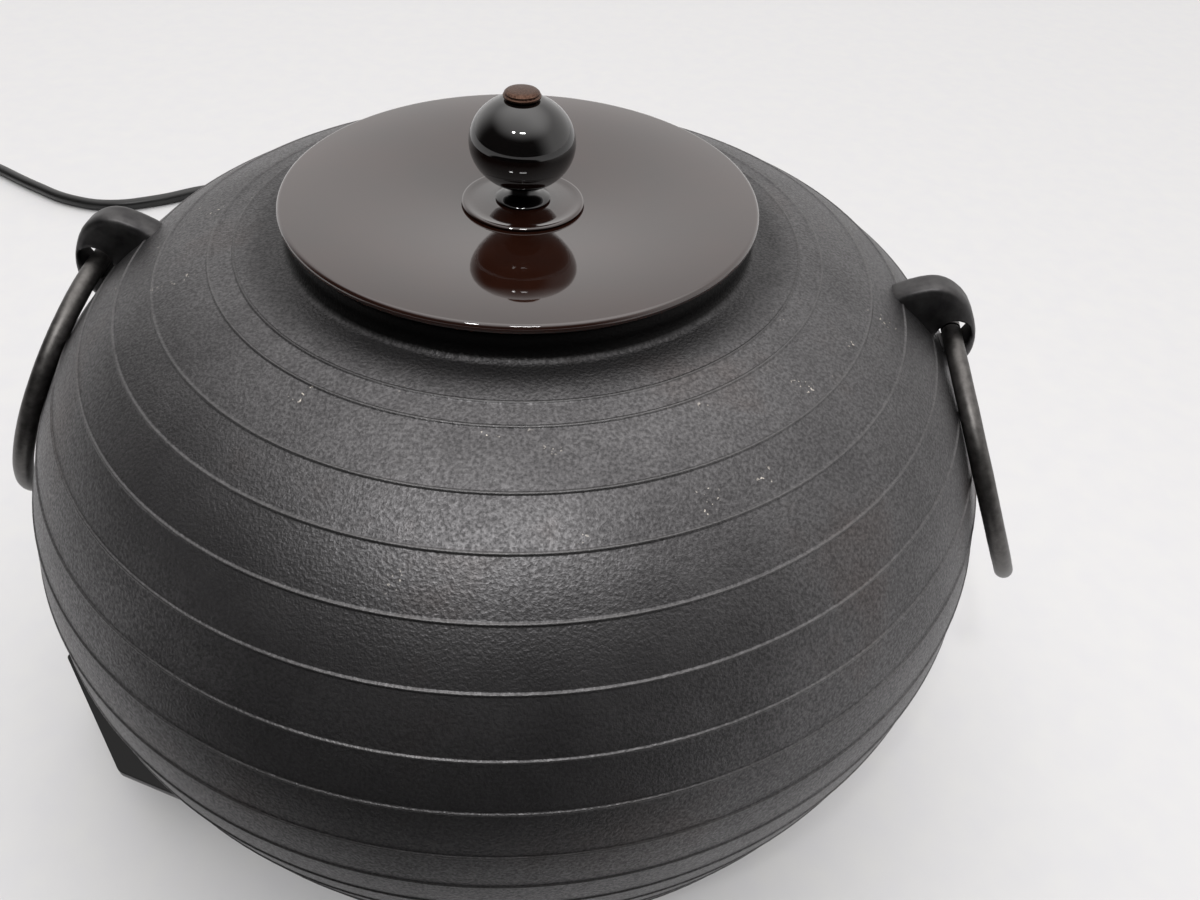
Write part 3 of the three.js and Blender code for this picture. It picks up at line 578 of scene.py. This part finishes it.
def makeRing(side):
    s, k, hung = ringSize, kettleSize, ringSize[side]
    x, y = spotAt(k["wide"] - s["inset"], hung["angle"])
    clearSelection()
    bpy.ops.mesh.primitive_circle_add(vertices=24, radius=s["wire"] * mm, rotation=(math.pi / 2, 0, 0))
    piece = bpy.context.object
    piece.name = piece.data.name = f"{side}Ring"
    settle(piece)
    bpy.ops.object.mode_set(mode="EDIT")
    bpy.ops.mesh.select_all(action="SELECT")
    bpy.ops.mesh.spin(steps=s["sides"], angle=math.tau - math.radians(s["joint"]),
                      center=(s["radius"] * mm, 0, 0), axis=(0, 0, 1))
    bpy.ops.mesh.select_all(action="DESELECT")
    bpy.ops.mesh.select_non_manifold()
    bpy.ops.mesh.edge_face_add()
    bpy.ops.mesh.select_all(action="SELECT")
    bpy.ops.mesh.normals_make_consistent(inside=False)
    bpy.ops.object.mode_set(mode="OBJECT")
    hammer = bpy.data.textures.new(f"{side}Hammer", "CLOUDS")
    hammer.noise_scale = 9 * mm
    modify(piece, "DISPLACE", texture=hammer, strength=s["uneven"] * mm, mid_level=0.5,
           texture_coords="LOCAL")
    piece.rotation_euler = (0, math.radians(90 - hung["lean"]), math.radians(hung["facing"]))
    piece.location = (x * mm, y * mm, (k["shoulder"] - s["dropHole"] - s["drop"]) * mm)
    settle(piece)
    bpy.ops.object.shade_smooth_by_angle(angle=math.radians(50))
    return place(piece, f"{side}_ring", "ring_iron", ironForged, f"ring_{side}")


for ringSide in ("left", "right"):
    makeRing(ringSide)
print("ears and rings made")


# lid: a shallow lacquered dish with a turned rim, and what is screwed to it
lidSize = {
    "level": 196.1, "radius": 61.8, "rim": 2.6, "dish": 4.8, "thick": 2.7, "edge": 52.9, "hole": 2.3,
    "washer": 16.0, "washerThick": 0.8, "knob": 13.5, "half": 11.6, "foot": 7.2, "waist": 3.2, "stem": 3.3,
    "finial": 4.7, "pin": 2.0, "gap": 0.3, "sides": 160,
}
lid = lidSize
rimCrest = lid["radius"] - 1.2
mouthRadius = kettleSize["neck"] - kettleSize["neckWall"]


def lidTop(radius):
    part = radius / rimCrest
    return lid["level"] + lid["rim"] - lid["dish"] + lid["dish"] * part * part * (3 - 2 * part)


def lidUnder(radius):
    return lidTop(radius) - lid["thick"]


def makeLid():
    hole = lid["hole"]
    topRadii = [hole + (rimCrest - hole) * i / 30 for i in range(30, -1, -1)]
    underRadii = [hole + (lid["edge"] - hole) * i / 24 for i in range(25)]
    top = [(radius, lidTop(radius)) for radius in topRadii]
    under = [(radius, lidUnder(radius)) for radius in underRadii]
    z, r = lid["level"], lid["radius"]
    rim = [
        (lid["edge"] + 0.5, z + 0.05), (r - 1.3, z + 0.05), (r - 0.6, z + 0.25), (r - 0.15, z + 0.75),
        (r, z + 1.3),
        (r - 0.08, z + 1.85), (r - 0.4, z + 2.35), (r - 0.8, z + 2.6),
    ]
    piece = spinUp("lidPlate", under + rim + top + [under[0]], lid["sides"], smooth=50)
    place(piece, "lid", "lacquer", lacquerBrown, "lid_plate")

    outer = mouthRadius - 2
    inner = outer - 2.5
    high = lidUnder(inner) - lid["gap"]
    ring = [(inner, high), (outer, high), (outer, high - 4.4), (outer - 0.5, high - 5),
            (inner + 0.5, high - 5), (inner, high - 4.4), (inner, high)]
    place(spinUp("lidSeatRing", ring, lid["sides"]), "lid", "lacquer", lacquerBrown, "lid_seat_ring")


def makeKnob():
    washerLow = lidTop(lid["washer"]) + lid["gap"]
    washerHigh = washerLow + lid["washerThick"]
    washer = [
        (lid["hole"], washerLow), (lid["washer"] - 0.3, washerLow), (lid["washer"], washerLow + 0.3),
        (lid["washer"] - 0.25, washerHigh - 0.1), (lid["washer"] - 0.7, washerHigh),
        (lid["washer"] - 1.5, washerHigh - 0.3), (lid["washer"] - 3.5, washerHigh - 0.35),
        (lid["foot"] + 2, washerHigh - 0.05), (lid["foot"], washerHigh),
        (lid["hole"], washerHigh), (lid["hole"], washerLow),
    ]
    place(spinUp("knobWasher", washer, 128, smooth=50), "lid", "knob_black", lacquerBrown, "knob_washer")

    low = washerHigh + lid["gap"]
    middle = low + lid["stem"] + lid["half"]
    pinTop = low + lid["half"]
    start = -math.degrees(math.acos(lid["waist"] / lid["knob"]))
    end = math.degrees(math.acos((lid["finial"] + 0.2) / lid["knob"]))
    ball = sweep((0, middle), (lid["knob"], lid["half"]), start, end, 40)
    foot = [
        (0, pinTop + lid["gap"]), (lid["hole"], pinTop + lid["gap"]), (lid["hole"], low),
        (lid["foot"] - 0.3, low),
        (lid["foot"], low + 0.25), (lid["foot"] - 0.25, low + 0.6), (lid["waist"] + 2.2, low + 0.95),
        (lid["waist"] + 1.0, low + 1.4), (lid["waist"] + 0.3, low + 2.0), (lid["waist"], low + 2.7),
    ]
    knob = spinUp("knobBall", foot + ball + [(0, ball[-1][1])], 96, smooth=60)
    place(knob, "lid", "knob_black", lacquerBlack, "knob_ball")

    f, z = lid["finial"], ball[-1][1] + lid["gap"]
    button = [(0, z), (f - 0.5, z), (f - 0.05, z + 0.3), (f, z + 0.7), (f - 0.45, z + 0.95),
              (f - 0.35, z + 1.35), (f - 0.8, z + 1.75), (f - 1.7, z + 1.95), (0, z + 2.05)]
    place(spinUp("knobFinial", button, 64, smooth=60), "lid", "bronze", bronzeCast, "knob_finial")

    nutTop = lidUnder(0) - lid["gap"]
    lockLow = nutTop - 0.8
    nutLow = lockLow - lid["gap"] - 3.5
    p = lid["pin"]
    pin = [(0, nutLow - 1), (p - 0.5, nutLow - 1), (p, nutLow - 0.5), (p, pinTop - 0.4), (p - 0.4, pinTop),
           (0, pinTop)]
    place(spinUp("knobPin", pin, 48), "lid", "brass", brassTurned, "knob_pin")
    lock = [(lid["hole"], lockLow), (5.8, lockLow), (6, lockLow + 0.2), (6, nutTop - 0.2), (5.8, nutTop),
            (lid["hole"], nutTop), (lid["hole"], lockLow)]
    place(spinUp("knobLockWasher", lock, 64), "lid", "brass", brassTurned, "knob_lock_washer")
    nut = drum(4.6, nutLow, nutLow + 3.5, sides=6)
    nut.name = nut.data.name = "knobNut"
    take(nut, drum(lid["hole"], nutLow - 2, nutLow + 6, sides=32))
    soften(nut, 0.35, segments=2)
    place(nut, "lid", "brass", brassTurned, "knob_nut")


makeLid()
makeKnob()
print("lid and knob made")


# base: cover plate with its console, tray, heater, controls
baseSize = {
    "radius": 116.0, "top": 26.0, "cover": 3.0, "inset": 9.0, "wall": 2.0, "front": (149.8, -149.0),
    "rear": (167.0, -168.1), "corner": 1.4, "footHeight": 6.0, "panTop": 8.0, "hole": 88.0, "dish": 86.0,
    "dishFloor": 12.0, "sheet": 0.8, "screws": (98.0, (20, 78, 222, 285)),
    "feet": (92.0, (30, 120, 210, 300)),
    "dial": (129.0, -154.0), "rocker": (133.0, -166.5), "lamp": (118.0, -144.0), "cordAngle": 105.0,
    "cordHeight": 15.6, "neckHole": 5.5,
}
base = baseSize


def meet(normalA, farA, normalB, farB):
    spread = math.sin(normalB - normalA)
    return ((farA * math.sin(normalB) - farB * math.sin(normalA)) / spread,
            (farB * math.cos(normalA) - farA * math.cos(normalB)) / spread)


def baseOutline(inset):
    front, rear = spotAt(*base["front"]), spotAt(*base["rear"])
    startAngle = math.radians(base["front"][1]) + math.acos(base["radius"] / base["front"][0])
    endAngle = math.radians(base["rear"][1]) - math.acos(base["radius"] / base["rear"][0])
    edge = math.atan2(front[1] - rear[1], front[0] - rear[0]) - math.pi / 2
    far = front[0] * math.cos(edge) + front[1] * math.sin(edge) - inset
    radius = base["radius"] - inset
    around = endAngle + math.tau - startAngle
    turns = [startAngle + around * i / 130 for i in range(131)]
    arc = [(radius * math.cos(turn), radius * math.sin(turn)) for turn in turns]
    corners = [meet(edge, far, endAngle, radius), meet(startAngle, radius, edge, far)]
    loop = [Vector(arc[-1]), Vector(corners[0]), Vector(corners[1]), Vector(arc[0])]
    points = list(arc)
    for i in (1, 2):
        before = loop[i] + (loop[i - 1] - loop[i]).normalized() * base["corner"]
        after = loop[i] + (loop[i + 1] - loop[i]).normalized() * base["corner"]
        for n in range(7):
            t = n / 6
            points.append(tuple(before * (1 - t) ** 2 + loop[i] * 2 * t * (1 - t) + after * t * t))
    return points


def makeCover():
    under = base["top"] - base["cover"]
    piece = plate("baseCover", baseOutline(0), under, base["top"])
    take(piece, drum(base["hole"], 0, 40, sides=160))
    take(piece, drum(3.6, 0, 40, spotAt(*base["dial"]), 48))
    take(piece, drum(4.3, 0, 40, spotAt(*base["lamp"]), 48))
    take(piece, brick(19.4, 14.0, 0, 40, spotAt(*base["rocker"]), base["rocker"][1]))
    soften(piece, 0.7, segments=4)
    for angle in base["screws"][1]:
        spot = spotAt(base["screws"][0], angle)
        boss = drum(4.6, base["panTop"] + 0.3, base["top"] - 1, spot, 32)
        take(boss, drum(1.9, 0, base["top"] - 5, spot, 24))
        take(piece, boss, "UNION")
    return place(piece, "base", "base_gloss", enamelBlack, "base_cover")


def makeTray():
    under = base["top"] - base["cover"]
    piece = plate("baseTray", baseOutline(base["inset"]), base["footHeight"], under - 0.3)
    take(piece, plate("hollow", baseOutline(base["inset"] + base["wall"]), base["panTop"], under + 5))
    spot = spotAt(base["radius"] - base["inset"], base["cordAngle"])
    gland = drum(base["neckHole"], -12, 12, sides=48)
    gland.rotation_euler = (math.pi / 2, 0, math.radians(base["cordAngle"] - 90))
    gland.location = (spot[0] * mm, spot[1] * mm, base["cordHeight"] * mm)
    settle(gland)
    take(piece, gland)
    for angle in base["screws"][1]:
        take(piece, drum(1.9, 0, 20, spotAt(base["screws"][0], angle), 24))
    soften(piece, 0.5, segments=3)
    return place(piece, "base", "pan_enamel", enamelMatt, "base_pan")


def makeHeater():
    d, f, s, lip = base["dish"], base["dishFloor"], base["sheet"], base["top"] + 0.3
    dish = [
        (20, f), (d - 2, f), (d, f + 2), (d, lip), (d + 5.4, lip), (d + 6, lip + 0.4), (d + 5.4, lip + s),
        (d + 0.4, lip + s), (d - s, lip + 0.2), (d - s, f + 2.4), (d - 2.4, f + s), (66, f + s),
        (64, f + s + 0.7), (62, f + s), (42, f + s), (40, f + s + 0.7), (38, f + s), (20, f + s), (20, f),
    ]
    piece = spinUp("reflectorDish", dish, 144)
    for angle in (-149, -167):
        take(piece, brick(12, 8.4, 15.6, 24, spotAt(d, angle), angle))
    place(piece, "base", "steel", steelRolled, "reflector_dish")
    low, high, r = 23.1, 30.0, 72.0
    disc = [(0, low), (r - 1, low), (r, low + 1), (r, high - 1.4), (r - 1.4, high)]
    for groove in (66, 58, 50, 42, 34, 26):  # turned grooves in the plate's face
        disc += [(groove + 1.2, high), (groove + 0.7, high - 0.5), (groove - 0.7, high - 0.5),
                 (groove - 1.2, high)]
    disc += [(15, high), (14, high - 0.8), (0, high - 0.8)]
    place(spinUp("hotPlate", disc, 144), "base", "plate_iron", ironGround, "hot_plate")
    wool = [(22, 8.6), (83, 8.4), (84, 9.2), (84, 11.0), (83, 11.6), (22, 11.4), (22, 8.6)]
    place(spinUp("insulationRing", wool, 96), "base", "mineral", mineralWool, "insulation_ring")


def makeControls():
    x, y = spotAt(*base["dial"])
    low, high, r = base["top"] + 1, base["top"] + 10, 10.0
    cap = [(0, low), (r, low), (r, low + 1.8), (r - 0.3, low + 2.3), (r - 1.5, low + 3.0),
           (r - 2, high - 1.0), (r - 2.5, high - 0.3), (r - 3.2, high), (0, high - 0.4)]
    dial = spinUp("controlDial", cap, 72, smooth=25)
    for face in dial.data.polygons:  # every other strip of the grip is pressed in
        middle, upright = face.center, abs(face.normal.z) < 0.3
        turn = round((math.degrees(math.atan2(middle.y, middle.x)) - 2.5) / 5) % 3 == 0
        face.select = bool(upright and turn and low + 3.2 < middle.z / mm < high - 1)
    bpy.context.tool_settings.mesh_select_mode = (False, False, True)
    only(dial)
    bpy.ops.object.mode_set(mode="EDIT")
    bpy.ops.mesh.inset(thickness=0.12 * mm, depth=-0.5 * mm, use_individual=True)
    bpy.ops.object.mode_set(mode="OBJECT")
    take(dial, drum(3.3, low - 1, high - 3, sides=32))
    take(dial, brick(6.4, 1.1, high - 0.9, high + 1, (4.6, 0)))
    dial.location = (x * mm, y * mm, 0)
    dial.rotation_euler = (0, 0, math.radians(118))
    settle(dial)
    place(dial, "dial", "bakelite", bakelite, "control_dial")

    spot, turn = spotAt(*base["rocker"]), base["rocker"][1]
    bezel = brick(22.8, 17.4, base["top"] + 0.3, base["top"] + 1.5, spot, turn)
    bezel.name = bezel.data.name = "rockerFrame"
    take(bezel, brick(18.8, 13.4, 13, base["top"] + 1, spot, turn), "UNION")
    take(bezel, brick(16.8, 11.4, 15, base["top"] + 7, spot, turn))
    soften(bezel, 0.45, segments=3)
    place(bezel, "base", "bakelite", bakelite, "rocker_frame")
    paddle = reworked("rocker_paddle", "rockerPaddle")
    soften(paddle, 0.7, segments=4)
    place(paddle, "rocker", "bakelite", bakelite, "rocker_paddle")
    x, y = spotAt(*base["lamp"])
    low, high = base["top"] - base["cover"], base["top"]
    dome = sweep((0, high + 0.6), (3.9, 1.7), 0, 90, 10)
    lens = spinUp("lampLens", [(0, low), (4, low), (4, high + 0.4), *dome], 48, smooth=60)
    lens.location = (x * mm, y * mm, 0)
    settle(lens)
    place(lens, "base", "amber_lens", amberLens, "lamp_lens")


def makeFeet():
    pieces = []
    foot = spinUp("foot1", [(0, 0.6), (5.5, 0.6), (6, 0), (8, 0), (9.2, 0.5), (9.6, 1.2), (9.3, 5.4),
                            (9, 5.7), (0, 5.7)], 64)
    screw = spinUp("baseScrew1", [(0, 3.9), (1.8, 3.95), (2.7, 4.3), (3.2, 4.9), (3.2, 5.7), (1.6, 5.7),
                                  (1.6, 18.6), (1.2, 19), (0, 19)], 40)
    take(screw, brick(3.6, 0.7, 3, 4.7))
    take(screw, brick(0.7, 3.6, 3, 4.7))
    for first, stem, node, (radius, angles), material, slot in (
        (foot, "foot", "foot_", base["feet"], rubberBlack, "rubber"),
        (screw, "baseScrew", "base_screw_", base["screws"], steelPlated, "steel"),
    ):
        for number, angle in enumerate(angles, 1):
            piece = first
            if number > 1:
                piece = bpy.data.objects.new(f"{stem}{number}", first.data.copy())
                bpy.context.scene.collection.objects.link(piece)
            pieces.append((piece, radius, angle, slot, material, f"{node}{number}"))
    for piece, radius, angle, slot, material, node in pieces:
        x, y = spotAt(radius, angle)
        piece.location = (x * mm, y * mm, 0)
        settle(piece)
        place(piece, "base", slot, material, node)


def makeStrainRelief():
    # a tapered sleeve, ribbed so that it bends, held in the tray's wall by its groove
    wall = base["radius"] - base["inset"]
    start, end = wall + 0.3, wall + 34
    outline = [(0, wall - 5.9), (6.6, wall - 5.9), (7, wall - 5.5), (7, wall - 2.3), (5.2, wall - 2.3),
               (5.2, start),
               (6.9, start), (7.1, start + 0.3), (7.0, start + 2.4), (6.2, start + 3.4)]
    ribs = 6
    for i in range(ribs):
        a = start + 4.2 + (end - start - 7) * i / ribs
        width = 6.1 - 1.4 * i / ribs
        outline += [(width, a), (width - 0.1, a + 2.4), (width - 0.9, a + 2.7), (width - 0.9, a + 4.0)]
    outline += [(4.7, end - 2), (4.6, end - 0.4), (4.2, end), (0, end)]
    piece = spinUp("strainRelief", outline, 48, smooth=45)
    piece.rotation_euler = (-math.pi / 2, 0, math.radians(base["cordAngle"] - 90))
    piece.location = (0, 0, base["cordHeight"] * mm)
    settle(piece)
    place(piece, "base", "rubber", rubberBlack, "strain_relief")


makeCover()
makeTray()
makeHeater()
makeControls()
makeFeet()
makeStrainRelief()
print("base made")

# CAD pieces that keep their shape
kept = {
    "heating_element": steelPlated, "plate_post_1": steelPlated, "plate_post_2": steelPlated,
    "plate_post_3": steelPlated, "thermostat_body": bakelite, "thermostat_shaft": steelPlated,
    "lamp_body": bakelite, "terminal_block": steatite, "thermal_fuse": steelPlated, "lead_supply": silicone,
    "lead_switch": silicone, "lead_thermostat": silicone, "lead_element": silicone, "lead_fuse_in": silicone,
    "lead_fuse_out": silicone,
}
for node, material in kept.items():
    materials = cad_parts[node].data.materials
    materials.clear()
    materials.append(material)
print("inner pieces finished")

# floor and light
floorSize = {"half": 20.0, "tone": ("#d4d4d6", "#d7d7d7")}
clearSelection()
bpy.ops.mesh.primitive_plane_add(size=2 * floorSize["half"], location=(0, 0, 0))
floor = bpy.context.object
floor.name = "floor"
floor.data.materials.append(moulded("paperMatt", *floorSize["tone"], 0.75, 1.2, depth=0.01))

# a dark cloth on the floor in front, seen only in reflections, as a studio uses to hold back glare
cloth = {"middle": (-0.25, -1.06), "reach": 0.95, "fade": 0.12}
clearSelection()
bpy.ops.mesh.primitive_circle_add(vertices=64, radius=cloth["reach"], fill_type="NGON",
                                  location=(*cloth["middle"], 0.002))
darkCloth = bpy.context.object
darkCloth.name = "darkCloth"
settle(darkCloth)
woven, tree, shader, coords = begin("feltDark", Roughness=1.0, Specular_IOR_Level=0.0)
shader.inputs["Base Color"].default_value = colour("#0b0b0b")
centred = add(tree, "ShaderNodeVectorMath", {0: coords, 1: (*cloth["middle"], 0.002)}, operation="DISTANCE")
fadeStart = cloth["reach"] - cloth["fade"]
cover = add(tree, "ShaderNodeMapRange", {"Value": centred.outputs["Value"], "From Min": fadeStart,
                                         "From Max": cloth["reach"], "To Min": 1.0, "To Max": 0.0})
tree.links.new(cover.outputs["Result"], shader.inputs["Alpha"])
darkCloth.data.materials.append(woven)
for kind in ("camera", "diffuse", "shadow", "transmission", "volume_scatter"):
    setattr(darkCloth, f"visible_{kind}", False)

lightSize = {
    "dim": 0.03, "ceiling": 1.56, "rear": 1.06, "aside": 0.56,
    "window": {"place": (-0.3, -0.58, 1.22), "size": (0.09, 0.07), "power": 2.3},
    "strip": {"place": (0.05, -0.62, 1.22), "size": (0.2, 0.05), "power": 2.3},
}
world = bpy.data.worlds.new("studio")
world.use_nodes = True
bpy.context.scene.world = world
bpy.context.scene.view_settings.view_transform = "Standard"
sky = world.node_tree  # bright overhead and behind, dim on the near side
facing = add(sky, "ShaderNodeTexCoord").outputs["Generated"]
parts = add(sky, "ShaderNodeSeparateXYZ", {"Vector": facing})
ceiling = add(sky, "ShaderNodeMapRange", {"Value": parts.outputs["Z"], "From Min": 0.58, "From Max": 0.98,
                                          "To Min": lightSize["dim"], "To Max": lightSize["ceiling"]},
              interpolation_type="SMOOTHSTEP")
aside = add(sky, "ShaderNodeMath", {0: parts.outputs["X"], 1: lightSize["aside"], 2: parts.outputs["Y"]},
            operation="MULTIPLY_ADD")
behind = add(sky, "ShaderNodeMapRange", {"Value": aside.outputs[0], "From Min": -0.55, "From Max": 0.35,
                                         "To Min": 0.0, "To Max": lightSize["rear"]},
             interpolation_type="SMOOTHSTEP")
total = add(sky, "ShaderNodeMath", {0: ceiling.outputs["Result"], 1: behind.outputs["Result"]},
            operation="ADD")
backdrop = sky.nodes["Background"]
backdrop.inputs["Color"].default_value = colour("#f6f4f3")
sky.links.new(total.outputs[0], backdrop.inputs["Strength"])
wall = add(sky, "ShaderNodeBackground", {"Color": colour("#e4e3e1")})  # what the camera itself sees
seen = add(sky, "ShaderNodeLightPath").outputs["Is Camera Ray"]
room = add(sky, "ShaderNodeMixShader", {0: seen, 1: backdrop.outputs[0], 2: wall.outputs[0]})
sky.links.new(room.outputs[0], sky.nodes["World Output"].inputs["Surface"])
for name in ("window", "strip"):
    chosen = lightSize[name]
    lamp = bpy.data.lights.new(name, "AREA")
    lamp.shape = "RECTANGLE"
    lamp.size, lamp.size_y = chosen["size"]
    lamp.energy = chosen["power"]
    holder = bpy.data.objects.new(name, lamp)
    bpy.context.scene.collection.objects.link(holder)
    holder.location = chosen["place"]
    aim = Vector((0, 0, 0.2)) - Vector(chosen["place"])
    holder.rotation_euler = aim.to_track_quat("-Z", "Y").to_euler()
print("floor and light set")

bpy.context.view_layer.update()
